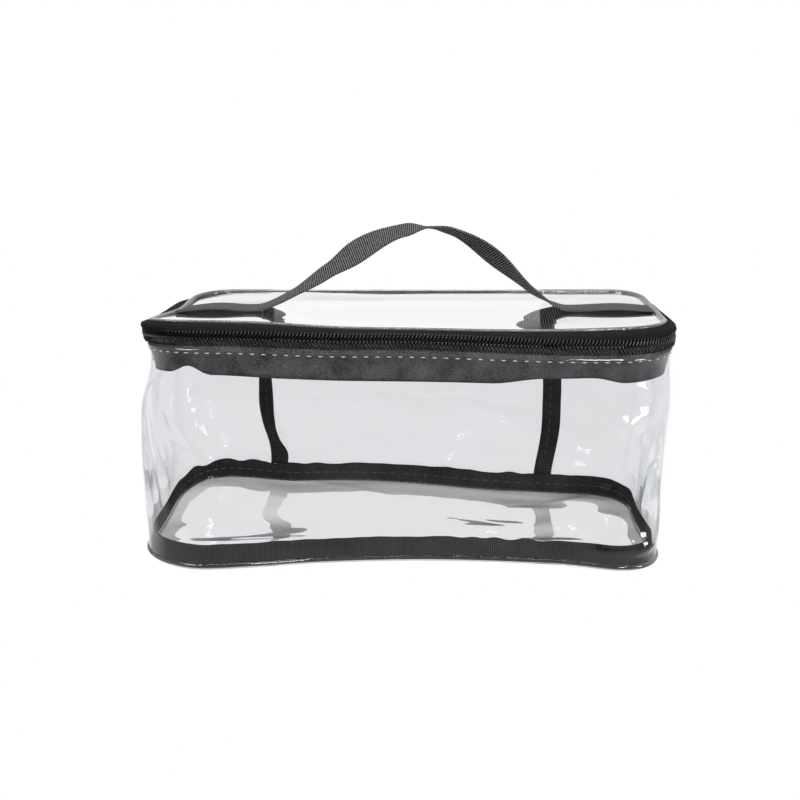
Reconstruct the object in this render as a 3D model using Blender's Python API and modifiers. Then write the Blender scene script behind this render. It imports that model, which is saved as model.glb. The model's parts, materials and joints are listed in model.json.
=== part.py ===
"""A clear zip-top makeup bag: PVC panels seamed with black binding, a coil zip round three sides and both back
corners, and a webbing handle on the lid.

Metres, +Z up. +X runs along the bag and -Y is its front. The origin is under the middle of the whole object.
The zip lies in its own plane, which drops towards the back. The bag's mouth and lid are laid out in that
plane: a place there is (x, y, rise), with rise measured from the zip's middle line, and an inset is a distance
inwards from that line.
"""

import math
from collections import namedtuple
from functools import partial

import bmesh
import bpy
from mathutils import Matrix, Vector

# Overall size. The zip's middle line is the widest part of the bag.
BAG_LENGTH = 0.220
BAG_DEPTH = 0.094
ZIP_CORNER = 0.027
ZIP_FRONT_HEIGHT = 0.098
LID_TILT = math.radians(6.3)

# The base's outline, drawn in from the zip's.
BASE_TUCK_SIDE = 0.004
BASE_TUCK_FRONT = 0.001
BASE_CORNER = 0.024

# Sheet, tape, cord and thread.
SHEET = 0.0005
TAPE = 0.0006
BINDING = 0.0014
BINDING_WIDTH = 0.0092
BACK_BINDING_WIDTH = 0.0084
PIPING_RADIUS = 0.0012
THREAD_RADIUS = 0.0003
GAP = 0.0003

# Zip chain and its two tapes.
COIL_RADIUS = 0.00125
COIL_SPLIT = 0.0006
TAPE_LEAN = 0.0032
TAPE_SHOULDER_DROP = 0.0047
TAPE_HANG = 0.0057
TAPE_HANG_LEAN = 0.001
RIM_SEAM_DROP = 0.002

# Slider and pull.
SLIDER_LENGTH = 0.008
SLIDER_PLAY = 0.0005
SLIDER_WALL = 0.001
BRIDGE_RADIUS = 0.0006
BRIDGE_SPAN = 0.0066
BRIDGE_BEND = 0.0004
PULL_LENGTH = 0.024
PULL_WIDTH = 0.0066
PULL_THICKNESS = 0.001
PULL_EYE = 0.0046

# Lid and back seams.
LID_INSET = 0.010
LID_RISE = 0.0095
BACK_SEAM = 0.0655
FOLD_GAP = 0.0006
LID_SWING_PLAY = 0.0005

# The lid's binding lies under the edge of the lid's sheet, and leans down as it goes in.
LID_BINDING_WIDTH = 0.0042
LID_BINDING_LEAN = math.radians(25)

# The upper tape climbs from the zip to the lid's seam in two slopes, given as shares of its reach and climb.
KNEE_REACH = 0.4
KNEE_CLIMB = 0.6
SEAM_CLIMB = 0.88

# Handle: a strap that lies on the lid, lifts off at two places and arches between them.
STRAP_WIDTH = 0.015
STRAP = 0.0012
ARCH_LEFT = -0.063
ARCH_RIGHT = 0.059
ARCH_APEX = 0.009
ARCH_RISE = 0.034
ARCH_FULLNESS = 1.25
HANDLE_PIVOT_RISE = 0.008
STRAP_SPLIT = 0.0007

CORNER_STEPS = 12
ARCH_STEPS = 10
TAIL_STEPS = 6

half_length = BAG_LENGTH / 2
half_depth = BAG_DEPTH / 2
back_height = ZIP_FRONT_HEIGHT - BAG_DEPTH * math.sin(LID_TILT)
piping_top = 2 * PIPING_RADIUS

coil_rise = COIL_SPLIT + COIL_RADIUS
chain_half = coil_rise + COIL_RADIUS
tape_edge = chain_half + GAP
slider_half = chain_half + GAP + SLIDER_WALL
tape_bend = slider_half + SLIDER_PLAY
fold_rise = tape_bend + LID_SWING_PLAY

binding_foot = SHEET + GAP
binding_head = binding_foot + BINDING_WIDTH
wall_inset = PIPING_RADIUS + SHEET / 2
wall_foot = piping_top + GAP

slider_face = COIL_RADIUS + GAP + SLIDER_WALL
pull_depth = slider_face + GAP + PULL_THICKNESS / 2
bridge_depth = pull_depth + PULL_THICKNESS / 2 + GAP + BRIDGE_RADIUS
lap = TAPE / 2 + 2 * GAP + SHEET / 2
back_reach = bridge_depth + BRIDGE_RADIUS
front_reach = lap + SHEET / 2

strap_base = LID_RISE + SHEET / 2 + GAP + STRAP / 2

Pivot = namedtuple("Pivot", "empty at")


class Plan:
    """A rounded rectangle seen from above, and the tracks that run along it at an inset."""

    def __init__(self, half_x, half_y, corner):
        self.half_x, self.half_y, self.corner = half_x, half_y, corner

    def arc(self, inset, side_x, side_y):
        """Points round one corner, clockwise seen from above, from the corner's first end to its second."""
        first = {(1, 1): 90, (1, -1): 0, (-1, -1): -90, (-1, 1): -180}[(side_x, side_y)]
        centre_x = side_x * (self.half_x - self.corner)
        centre_y = side_y * (self.half_y - self.corner)
        radius = self.corner - inset
        angles = [math.radians(first - 90 * i / CORNER_STEPS) for i in range(CORNER_STEPS + 1)]
        return [(centre_x + radius * math.cos(a), centre_y + radius * math.sin(a)) for a in angles]

    def ring(self, inset):
        """The whole outline."""
        return [p for side in ((1, 1), (1, -1), (-1, -1), (-1, 1)) for p in self.arc(inset, *side)]

    def wrap(self, inset):
        """From the right back seam, round the front, to the left back seam."""
        end = BACK_SEAM + GAP / 2
        back_y = self.half_y - inset
        return [(end, back_y), *self.ring(inset), (-end, back_y)]

    def open_run(self, inset):
        """The stretch that unzips: round the front from one back corner to the other."""
        return self.ring(inset)[1:-1]

    def closed_end(self, inset, side):
        """The straight stretch along the back between a back seam and its corner."""
        back_y = self.half_y - inset
        return [(side * (BACK_SEAM + GAP / 2), back_y), (side * (self.half_x - self.corner - GAP), back_y)]


zip_plan = Plan(half_length, half_depth, ZIP_CORNER)
base_plan = Plan(half_length - BASE_TUCK_SIDE, half_depth - BASE_TUCK_FRONT, BASE_CORNER)


def zip_plane_matrix():
    """Takes (x, y, rise) to the bag's own axes: the plane turns about the zip's line along the back."""
    pivot = Matrix.Translation((0, half_depth, back_height))
    return pivot @ Matrix.Rotation(-LID_TILT, 4, "X") @ Matrix.Translation((0, -half_depth, 0))


in_zip_plane = zip_plane_matrix()


def material(name, colour, roughness, metallic=0.0, alpha=1.0):
    made = bpy.data.materials.new(name)
    made.use_nodes = True
    shader = made.node_tree.nodes["Principled BSDF"]
    shader.inputs["Base Color"].default_value = (*colour, 1.0)
    shader.inputs["Roughness"].default_value = roughness
    shader.inputs["Metallic"].default_value = metallic
    shader.inputs["Alpha"].default_value = alpha
    return made


def add(name, data, parts, pivot, finish):
    """An object of this mesh or curve, which is laid out in the axes that the pivot's place is given in."""
    obj = bpy.data.objects.new(name, data)
    parts.objects.link(obj)
    obj.parent = pivot.empty
    obj.location = -pivot.at
    data.materials.append(finish)
    return obj


def new_pivot(name, parts, parent, at):
    """A joint's empty at a place in its parent's axes."""
    empty = bpy.data.objects.new(name, None)
    parts.objects.link(empty)
    at = Vector(at)
    if parent:
        empty.parent = parent.empty
        empty.location = at - parent.at
    return Pivot(empty, at)


def solidify(obj, thickness):
    """Gives an open surface this thickness, half to each side."""
    shell = obj.modifiers.new("Thickness", "SOLIDIFY")
    shell.thickness = thickness
    shell.offset = 0
    shell.use_even_offset = True


def loft(rows, closed=False):
    """The surface through rows of as many points each, as a mesh."""
    bm = bmesh.new()
    grid = [[bm.verts.new(point) for point in row] for row in rows]
    count = len(grid[0])
    for lower, upper in zip(grid, grid[1:]):
        for i in range(count if closed else count - 1):
            j = (i + 1) % count
            bm.faces.new((lower[i], lower[j], upper[j], upper[i]))
    mesh = bpy.data.meshes.new("loft")
    bm.to_mesh(mesh)
    bm.free()
    mesh.shade_smooth()
    mesh.set_sharp_from_angle(angle=math.radians(40))
    return mesh


def band(track, profile, closed=False):
    """A strip that follows a track. The profile lists (inset, rise) from one edge of the strip to the other."""
    return loft([[(x, y, rise) for x, y in track(inset)] for inset, rise in profile], closed)


def tube(points, radius, closed=False, resolution=2):
    """A round cord through points, as a curve."""
    curve = bpy.data.curves.new("cord", "CURVE")
    curve.dimensions = "3D"
    curve.bevel_depth = radius
    curve.bevel_resolution = resolution
    curve.use_fill_caps = not closed
    spline = curve.splines.new("POLY")
    spline.points.add(len(points) - 1)
    for place, point in zip(spline.points, points):
        place.co = (*point, 1)
    spline.use_cyclic_u = closed
    return curve


def cord(track, inset, rise, radius, closed=False, resolution=2):
    """A round cord along a track at one inset and rise."""
    return tube([(x, y, rise) for x, y in track(inset)], radius, closed, resolution)


def flat_sheet(outlines, thickness):
    """A flat sheet with this outline, and holes where more outlines follow, as a curve in its own XY plane."""
    curve = bpy.data.curves.new("outline", "CURVE")
    curve.dimensions = "2D"
    curve.fill_mode = "BOTH"
    curve.extrude = thickness / 2
    for outline in outlines:
        spline = curve.splines.new("POLY")
        spline.points.add(len(outline) - 1)
        for place, (x, y) in zip(spline.points, outline):
            place.co = (x, y, 0, 1)
        spline.use_cyclic_u = True
    return curve


def as_mesh(curve, helpers):
    """The closed mesh of a curve, so that it can be joined to another solid."""
    source = bpy.data.objects.new("source", curve)
    helpers.objects.link(source)
    bpy.context.view_layer.update()
    graph = bpy.context.evaluated_depsgraph_get()
    mesh = bpy.data.meshes.new_from_object(source.evaluated_get(graph))
    bpy.data.objects.remove(source)
    bm = bmesh.new()
    bm.from_mesh(mesh)
    bmesh.ops.remove_doubles(bm, verts=bm.verts, dist=1e-6)
    bmesh.ops.recalc_face_normals(bm, faces=bm.faces)
    bm.to_mesh(mesh)
    bm.free()
    return mesh


def box(low, high):
    """A box between two corners, as a mesh."""
    bm = bmesh.new()
    bmesh.ops.create_cube(bm, size=1)
    size = Vector(high) - Vector(low)
    middle = (Vector(high) + Vector(low)) / 2
    bmesh.ops.transform(bm, matrix=Matrix.Translation(middle) @ Matrix.Diagonal((*size, 1)), verts=bm.verts)
    mesh = bpy.data.meshes.new("box")
    bm.to_mesh(mesh)
    bm.free()
    return mesh


def combine(obj, mesh, operation, helpers):
    """Joins a solid to obj or cuts it away. The solid is laid out in obj's own axes."""
    helper = bpy.data.objects.new(f"{obj.name}_{operation.lower()}", mesh)
    helpers.objects.link(helper)
    helper.parent = obj
    helper.hide_render = True
    helper.display_type = "WIRE"
    boolean = obj.modifiers.new(operation.title(), "BOOLEAN")
    boolean.operation = operation
    boolean.object = helper


def back_point(x, share, depth):
    """A place on the back panel: a share of the way up it, and a depth inside its middle surface."""
    foot = Vector((x, base_plan.half_y - wall_inset, wall_foot))
    head = in_zip_plane @ Vector((x, half_depth, fold_rise - FOLD_GAP))
    up = (head - foot).normalized()
    return foot.lerp(head, share) + depth * Vector((0, -up.z, up.y))


def hinge_profile(first_rise):
    """The lid's slope from just above the zip up to the piping, as (inset, rise)."""
    reach = LID_INSET - PIPING_RADIUS - GAP - TAPE / 2
    climb = LID_RISE - fold_rise
    return [(0, first_rise), (0, fold_rise + 2 * FOLD_GAP), (KNEE_REACH * reach, fold_rise + KNEE_CLIMB * climb),
            (reach, fold_rise + SEAM_CLIMB * climb)]


def build_base(parts, bag, clear, grosgrain, thread):
    """The floor, its piping, and the binding that stands inside the wall's foot."""
    panel = flat_sheet([base_plan.ring(piping_top + GAP)], SHEET)
    add("base_panel", panel, parts, bag, clear).location.z = SHEET / 2
    piping = cord(base_plan.ring, PIPING_RADIUS, PIPING_RADIUS, PIPING_RADIUS, closed=True)
    add("base_piping", piping, parts, bag, clear)
    inset = piping_top + GAP + BINDING / 2
    binding = band(base_plan.ring, [(inset, binding_foot), (inset, binding_head)], closed=True)
    solidify(add("base_binding", binding, parts, bag, grosgrain), BINDING)
    seam_inset = inset + BINDING / 2 + GAP + THREAD_RADIUS
    seam_rise = (binding_foot + binding_head) / 2
    seam = cord(base_plan.ring, seam_inset, seam_rise, THREAD_RADIUS, closed=True, resolution=0)
    add("base_stitching", seam, parts, bag, thread)


def build_wall(parts, bag, rim, clear, thread):
    """The sheet round front, sides and back corners. Its top edge laps over the zip's lower tape."""
    foot = [(x, y, wall_foot) for x, y in base_plan.wrap(wall_inset)]
    profile = [(TAPE_LEAN - lap, -tape_bend - TAPE_SHOULDER_DROP), (-lap, -tape_bend)]
    top = [[in_zip_plane @ Vector((x, y, rise)) for x, y in zip_plan.wrap(inset)] for inset, rise in profile]
    solidify(add("wall_panel", loft([foot, *top]), parts, bag, clear), SHEET)
    lean = math.atan2(TAPE_LEAN, TAPE_SHOULDER_DROP)
    proud = SHEET / 2 + GAP + THREAD_RADIUS
    seam_inset = RIM_SEAM_DROP * math.tan(lean) - lap - proud * math.cos(lean)
    seam_rise = -tape_bend - RIM_SEAM_DROP - proud * math.sin(lean)
    seam = cord(zip_plan.wrap, seam_inset, seam_rise, THREAD_RADIUS, resolution=0)
    add("rim_stitching", seam, parts, rim, thread)


def build_back(parts, bag, clear, grosgrain, thread):
    """The back panel up to the fold, and inside each of its seams a binding with its thread."""
    edge = BACK_SEAM - GAP / 2
    panel = loft([[back_point(-edge, share, 0), back_point(edge, share, 0)] for share in (0, 1)])
    solidify(add("back_panel", panel, parts, bag, clear), SHEET)
    height = (back_point(0, 1, 0) - back_point(0, 0, 0)).length
    low = (binding_head + 2 * GAP - wall_foot) / height
    binding_depth = SHEET / 2 + GAP + BINDING / 2
    thread_depth = binding_depth + BINDING / 2 + GAP + THREAD_RADIUS
    for side, word in ((-1, "left"), (1, "right")):
        xs = (side * (edge - BACK_BINDING_WIDTH), side * edge)
        strip = loft([[back_point(x, share, binding_depth) for x in xs] for share in (low, 1)])
        solidify(add(f"back_binding_{word}", strip, parts, bag, grosgrain), BINDING)
        middle = sum(xs) / 2
        seam = tube([back_point(middle, share, thread_depth) for share in (low, 1)], THREAD_RADIUS, resolution=0)
        add(f"back_stitching_{word}", seam, parts, bag, thread)


def build_lower_zip(parts, rim, zip_cloth, coil):
    """The tape that hangs inside the wall's top edge, and its coil."""
    bend = [(0, -tape_edge), (0, -tape_bend)]
    shoulder = (TAPE_LEAN, -tape_bend - TAPE_SHOULDER_DROP)
    hem = (TAPE_LEAN + TAPE_HANG_LEAN, shoulder[1] - TAPE_HANG)
    tape = band(zip_plan.wrap, [*bend, shoulder, hem])
    solidify(add("zip_tape_lower", tape, parts, rim, zip_cloth), TAPE)
    chain = cord(zip_plan.wrap, 0, -coil_rise, COIL_RADIUS)
    add("zip_coil_lower", chain, parts, rim, coil)


def build_zip_ends(parts, rim, zip_cloth, coil):
    """The upper tape and coil along the back, which stay shut when the lid opens."""
    for side, word in ((-1, "left"), (1, "right")):
        track = partial(zip_plan.closed_end, side=side)
        tape = band(track, [(0, tape_edge), (0, fold_rise - FOLD_GAP)])
        solidify(add(f"zip_tape_end_{word}", tape, parts, rim, zip_cloth), TAPE)
        add(f"zip_coil_end_{word}", cord(track, 0, coil_rise, COIL_RADIUS), parts, rim, coil)


def build_upper_zip(parts, lid, zip_cloth, coil):
    """The upper tape and coil that open with the lid. Over the shut ends the tape starts above the fold."""
    shut = {0, 1, -1, -2}
    rows = []
    open_rows, shut_rows = hinge_profile(tape_edge), hinge_profile(fold_rise + FOLD_GAP)
    for (inset, rise), (_, shut_rise) in zip(open_rows, shut_rows):
        places = zip_plan.wrap(inset)
        count = len(places)
        rises = [shut_rise if i in shut or i - count in shut else rise for i in range(count)]
        rows.append([(x, y, r) for (x, y), r in zip(places, rises)])
    solidify(add("zip_tape_upper", loft(rows), parts, lid, zip_cloth), TAPE)
    add("zip_coil_upper", cord(zip_plan.open_run, 0, coil_rise, COIL_RADIUS), parts, lid, coil)


def build_lid(parts, lid, clear, grosgrain, thread):
    """The lid's sheet, its piping and inside binding, and the strip of back panel above the fold."""
    panel = flat_sheet([zip_plan.ring(LID_INSET + PIPING_RADIUS + GAP)], SHEET)
    add("lid_panel", panel, parts, lid, clear).location.z += LID_RISE
    piping = cord(zip_plan.ring, LID_INSET, LID_RISE, PIPING_RADIUS, closed=True)
    add("lid_piping", piping, parts, lid, clear)
    head = LID_RISE - PIPING_RADIUS - GAP - BINDING / 2
    reach, drop = LID_BINDING_WIDTH * math.cos(LID_BINDING_LEAN), LID_BINDING_WIDTH * math.sin(LID_BINDING_LEAN)
    binding = band(zip_plan.ring, [(LID_INSET, head), (LID_INSET + reach, head - drop)], closed=True)
    solidify(add("lid_binding", binding, parts, lid, grosgrain), BINDING)
    below = BINDING / 2 + GAP + THREAD_RADIUS
    seam_inset = LID_INSET + reach / 2 - below * math.sin(LID_BINDING_LEAN)
    seam_rise = head - drop / 2 - below * math.cos(LID_BINDING_LEAN)
    seam = cord(zip_plan.ring, seam_inset, seam_rise, THREAD_RADIUS, closed=True, resolution=0)
    add("lid_stitching", seam, parts, lid, thread)
    edge = BACK_SEAM - GAP / 2
    rows = [[(x, half_depth - inset, rise) for x in (-edge, edge)]
            for inset, rise in hinge_profile(fold_rise + FOLD_GAP)]
    solidify(add("hinge_panel", loft(rows), parts, lid, clear), SHEET)


def arch_height(x):
    """The strap's height above where it lies on the lid."""
    end = ARCH_LEFT if x < ARCH_APEX else ARCH_RIGHT
    share = (x - end) / (ARCH_APEX - end)
    if share <= 0:
        return 0
    return ARCH_RISE * math.sin(share * math.pi / 2) ** ARCH_FULLNESS


def pivot_x(end):
    """Where the strap passes the handle's axis on the side of this end."""
    share = math.asin((HANDLE_PIVOT_RISE / ARCH_RISE) ** (1 / ARCH_FULLNESS)) / (math.pi / 2)
    return end + share * (ARCH_APEX - end)


def spread(start, end, steps):
    return [start + (end - start) * i / steps for i in range(steps + 1)]


def strap(xs):
    """The strap over these places along the bag."""
    return loft([[(x, y, strap_base + arch_height(x)) for y in (-STRAP_WIDTH / 2, STRAP_WIDTH / 2)] for x in xs])


def build_handle(parts, lid, handle, webbing):
    """Two tails that lie on the lid and start to lift, and the arch between them."""
    seam = half_length - LID_INSET - PIPING_RADIUS - GAP
    for side, word, end in ((-1, "left", ARCH_LEFT), (1, "right", ARCH_RIGHT)):
        lift = spread(end, pivot_x(end) + side * STRAP_SPLIT, TAIL_STEPS)
        solidify(add(f"handle_tail_{word}", strap([side * seam, *lift]), parts, lid, webbing), STRAP)
    left, right = pivot_x(ARCH_LEFT) + STRAP_SPLIT, pivot_x(ARCH_RIGHT) - STRAP_SPLIT
    xs = spread(left, ARCH_APEX, ARCH_STEPS) + spread(ARCH_APEX, right, ARCH_STEPS)[1:]
    solidify(add("handle_strap", strap(xs), parts, handle, webbing), STRAP)


def build_slider(parts, helpers, slider, pull, metal):
    """Two plates joined between the coils, a bridge on the outer plate, and the pull that hangs on the bridge."""
    size = Vector((SLIDER_LENGTH / 2, slider_face, slider_half))
    body = add("zip_slider", box(-size, size), parts, slider, metal)
    body.location = (0, 0, 0)
    past = 2 * SLIDER_LENGTH
    for side in (-1, 1):
        for depth, reach in ((COIL_RADIUS + GAP, tape_edge), (TAPE / 2 + GAP, past)):
            near, far = sorted((side * (COIL_SPLIT - GAP), side * reach))
            combine(body, box((-past, -depth, near), (past, depth, far)), "DIFFERENCE", helpers)
    half_span = BRIDGE_SPAN / 2
    root = slider_face - SLIDER_WALL / 2
    side_points = [(half_span, root), (half_span, bridge_depth - BRIDGE_BEND),
                   (half_span - BRIDGE_BEND, bridge_depth)]
    arch = [(-x, y, 0) for x, y in side_points] + [(x, y, 0) for x, y in reversed(side_points)]
    combine(body, as_mesh(tube(arch, BRIDGE_RADIUS), helpers), "UNION", helpers)

    bar = PULL_THICKNESS
    half_width, half_eye = PULL_WIDTH / 2, PULL_EYE / 2
    round_end = [(PULL_LENGTH - half_width + half_width * math.cos(a), half_width * math.sin(a))
                 for a in (math.radians(-90 + 180 * i / CORNER_STEPS) for i in range(CORNER_STEPS + 1))]
    outline = [(-bar / 2, -half_width), *round_end, (-bar / 2, half_width)]
    eye = [(bar / 2, -half_eye), (bar / 2, half_eye), (bar / 2 + PULL_EYE, half_eye), (bar / 2 + PULL_EYE, -half_eye)]
    tab = add("zip_pull", flat_sheet([outline, eye], PULL_THICKNESS), parts, pull, metal)
    tab.location = (0, 0, 0)
    tab.rotation_euler = (math.pi / 2, 0, 0)


def main():
    for obj in list(bpy.data.objects):
        bpy.data.objects.remove(obj)
    parts = bpy.data.collections.new("makeup_bag")
    helpers = bpy.data.collections.new("cutters")
    for collection in (parts, helpers):
        bpy.context.scene.collection.children.link(collection)

    clear = material("clear_pvc", (0.90, 0.91, 0.92), 0.08, alpha=0.25)
    grosgrain = material("black_grosgrain", (0.02, 0.02, 0.022), 0.8)
    zip_cloth = material("black_zip_tape", (0.025, 0.025, 0.028), 0.85)
    webbing = material("black_webbing", (0.03, 0.03, 0.032), 0.75)
    coil = material("black_nylon_coil", (0.015, 0.015, 0.015), 0.35)
    thread = material("grey_thread", (0.6, 0.6, 0.6), 0.7)
    metal = material("black_enamel", (0.02, 0.02, 0.02), 0.3, metallic=0.6)

    bag = new_pivot("bag", parts, None, (0, 0, 0))
    bag.empty.location = (0, (front_reach - back_reach) / 2, 0)
    rim = new_pivot("zip_plane", parts, bag, (0, 0, 0))
    rim.empty.matrix_basis = in_zip_plane
    lid = new_pivot("lid_hinge", parts, rim, (0, half_depth, fold_rise))
    handle = new_pivot("handle_swing", parts, lid, (0, 0, strap_base + HANDLE_PIVOT_RISE))
    slider_x = BACK_SEAM + GAP / 2 + SLIDER_PLAY + SLIDER_LENGTH / 2
    slider = new_pivot("slider_slide", parts, rim, (slider_x, half_depth, 0))
    pull = new_pivot("pull_flip", parts, slider, (slider_x, half_depth + pull_depth, 0))

    build_base(parts, bag, clear, grosgrain, thread)
    build_wall(parts, bag, rim, clear, thread)
    build_back(parts, bag, clear, grosgrain, thread)
    build_lower_zip(parts, rim, zip_cloth, coil)
    build_zip_ends(parts, rim, zip_cloth, coil)
    build_upper_zip(parts, lid, zip_cloth, coil)
    build_lid(parts, lid, clear, grosgrain, thread)
    build_handle(parts, lid, handle, webbing)
    build_slider(parts, helpers, slider, pull, metal)


main()
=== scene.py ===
"""The looks of a clear zip-top makeup bag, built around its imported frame.

Lengths are in metres. The bag's mouth lies in a plane that drops towards the back. A place on the bag is
first laid out as (x, y, rise), with rise measured from the zip's middle line, then set in that plane or hung
between it and the base, and last pushed into the slack shape that soft sheet takes.
"""

import json
import math

import bmesh
import bpy
from mathutils import Matrix, Vector, noise


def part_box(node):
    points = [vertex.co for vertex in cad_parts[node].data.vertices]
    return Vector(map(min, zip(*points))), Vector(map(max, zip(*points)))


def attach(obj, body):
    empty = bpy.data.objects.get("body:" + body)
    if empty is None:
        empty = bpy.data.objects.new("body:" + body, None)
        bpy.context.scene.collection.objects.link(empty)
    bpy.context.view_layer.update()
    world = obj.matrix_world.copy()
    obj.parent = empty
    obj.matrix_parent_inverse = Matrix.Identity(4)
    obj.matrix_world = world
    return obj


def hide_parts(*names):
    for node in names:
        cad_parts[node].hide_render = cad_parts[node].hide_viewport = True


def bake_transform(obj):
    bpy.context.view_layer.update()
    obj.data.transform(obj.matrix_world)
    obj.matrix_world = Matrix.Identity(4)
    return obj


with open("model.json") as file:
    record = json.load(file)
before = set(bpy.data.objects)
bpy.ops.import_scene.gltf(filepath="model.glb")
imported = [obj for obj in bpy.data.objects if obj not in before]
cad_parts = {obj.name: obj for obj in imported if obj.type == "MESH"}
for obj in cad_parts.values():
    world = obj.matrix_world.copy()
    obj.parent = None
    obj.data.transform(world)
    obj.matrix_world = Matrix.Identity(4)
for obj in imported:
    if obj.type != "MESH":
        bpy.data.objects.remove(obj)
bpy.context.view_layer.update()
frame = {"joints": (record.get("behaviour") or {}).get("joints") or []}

# Sheet, tape and thread.
SHEET = 0.0005
TAPE = 0.0006
BINDING = 0.0007
BINDING_WIDTH = 0.0092
BACK_BINDING_WIDTH = 0.0084
PIPING_RADIUS = 0.0013
GROSGRAIN_PITCH = 0.0009
WEBBING_PITCH = 0.0009
TWILL_PITCH = 0.0006

# Zip.
TOOTH_PITCH = 0.0015
TAPE_BEND = 0.0049
LIP_RISE = -0.0046
SHOULDER_INSET = 0.0026
SHOULDER_RISE = -0.0092
HEM_RISE = -0.0150
RIM_STITCH_RISE = -0.0062
STITCH_PITCH = 0.0046

# Stitches, as (length, radius).
RIM_STITCH = (0.0022, 0.00022)
INNER_STITCH = (0.0030, 0.00026)

# Slider and pull.
SLIDER_LENGTH = 0.008
SLIDER_WALL = 0.001
SLIDER_FACE = 0.00255
SLIDER_HALF = 0.0044
BRIDGE_RADIUS = 0.0006
BRIDGE_DEPTH = 0.00475
PULL_LENGTH = 0.024
PULL_WIDTH = 0.0066
PULL_THICKNESS = 0.001
PULL_EYE = 0.0046
PULL_DEPTH = 0.00335
ENAMEL_EDGE = 0.00018

# Lid, back seams and handle.
LID_INSET = 0.010
LID_RISE = 0.0095
BACK_SEAM = 0.0655
STRAP_WIDTH = 0.015
STRAP = 0.0010
STRAP_EDGE = 0.0003
STRAP_FULLNESS = 1.12
ARCH_LEFT = -0.065
ARCH_RIGHT = 0.066
ARCH_APEX = 0.009
ARCH_RISE = 0.0337

# Outline and walls.
ZIP_CORNER = 0.027
BASE_TUCK = 0.001
HANG_START = -0.016
FOOT_RISE = -0.100
STRIP_FOOT = -0.0895

# How finely the soft pieces are cut.
SHEET_STEP = 0.0022
TAPE_STEP = 0.0016
BAND_STEP = 0.004


def ease(value, low, high):
    """0 below low, 1 above high, and smooth between."""
    share = min(1.0, max(0.0, (value - low) / (high - low)))
    return share * share * (3 - 2 * share)


def bump(value, middle, width):
    """1 at the middle, falling smoothly to 0 at a width to each side."""
    share = min(1.0, abs(value - middle) / width)
    return (1 - share * share) ** 2


def along_points(points, x):
    """The value at x of a smooth line through (x, value) points."""
    if x <= points[0][0]:
        return points[0][1]
    for (x0, v0), (x1, v1) in zip(points, points[1:]):
        if x < x1:
            return v0 + (v1 - v0) * ease(x, x0, x1)
    return points[-1][1]


# ---- the frame's own sizes

joints = {joint["name"]: joint for joint in frame["joints"]}
hinge = Vector(joints["lid_hinge"]["pos_m"])
pull_pin = Vector(joints["pull_flip"]["pos_m"])
plane_up = Vector(joints["pull_flip"]["axis"])
LID_TILT = math.atan2(plane_up.y, plane_up.z)
FOLD_RISE = (hinge - pull_pin).dot(plane_up)
tape_low, tape_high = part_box("zip_tape_lower")
piping_low, piping_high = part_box("base_piping")
half_x = (tape_high.x - tape_low.x) / 2 - TAPE / 2
base_half_x = (piping_high.x - piping_low.x) / 2
base_half_y = (piping_high.y - piping_low.y) / 2
shift = (piping_high.y + piping_low.y) / 2
half_y = base_half_y + BASE_TUCK
back_zip = hinge - plane_up * FOLD_RISE
slider_middle = Vector((pull_pin.x, back_zip.y, back_zip.z))
rim = (Matrix.Translation((0, back_zip.y, back_zip.z)) @ Matrix.Rotation(-LID_TILT, 4, "X")
       @ Matrix.Translation((0, -half_y, 0)))


class Plan:
    """A rounded rectangle seen from above, followed clockwise from the middle of the back."""

    def __init__(self, half_x, half_y, corner):
        self.half_x, self.half_y, self.corner = half_x, half_y, corner
        self.run_x, self.run_y = half_x - corner, half_y - corner
        self.turn = math.pi / 2 * corner
        self.length = 4 * (self.run_x + self.run_y + self.turn)
        x, y = self.run_x, self.run_y
        # Straight legs are (length, start, heading), round ones (length, centre, first angle in degrees).
        self.legs = [(x, (0, half_y), (1, 0)), (self.turn, (x, y), 90),
                     (2 * y, (half_x, y), (0, -1)), (self.turn, (x, -y), 0),
                     (2 * x, (x, -half_y), (-1, 0)), (self.turn, (-x, -y), -90),
                     (2 * y, (-half_x, -y), (0, 1)), (self.turn, (-x, y), -180),
                     (x, (-x, half_y), (1, 0))]

    def at(self, distance, inset=0.0):
        """The place on the outline this far along it, and the direction that faces outwards there."""
        distance %= self.length
        for length, origin, way in self.legs:
            if distance <= length:
                break
            distance -= length
        else:
            distance += length
        if isinstance(way, tuple):
            heading = Vector(way)
            outward = Vector((-heading.y, heading.x))
            place = Vector(origin) + heading * distance
        else:
            angle = math.radians(way) - distance / self.corner
            outward = Vector((math.cos(angle), math.sin(angle)))
            place = Vector(origin) + outward * self.corner
        return place - outward * inset, outward

    def along(self, x, y):
        """How far along the outline the place nearest to (x, y) is."""
        if abs(x) > self.run_x and abs(y) > self.run_y:
            corner = (1 if x > 0 else -1, 1 if y > 0 else -1)
            angle = math.atan2(y - corner[1] * self.run_y, x - corner[0] * self.run_x)
            order = [(1, 1), (1, -1), (-1, -1), (-1, 1)].index(corner)
            turned = (math.radians([90, 0, -90, 180][order]) - angle) % (2 * math.pi)
            before = [self.run_x, self.run_x + 2 * self.run_y + self.turn,
                      3 * self.run_x + 2 * self.run_y + 2 * self.turn,
                      3 * self.run_x + 4 * self.run_y + 3 * self.turn][order]
            return before + turned * self.corner
        if abs(y) > self.run_y or abs(y) / self.half_y >= abs(x) / self.half_x:
            if y > 0:
                return x % self.length
            return 2 * self.run_x + 2 * self.run_y + 2 * self.turn - x
        if x > 0:
            return self.run_x + self.turn + self.run_y - y
        return 3 * self.run_x + 3 * self.run_y + 3 * self.turn + y


zip_plan = Plan(half_x, half_y, ZIP_CORNER)


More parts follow.
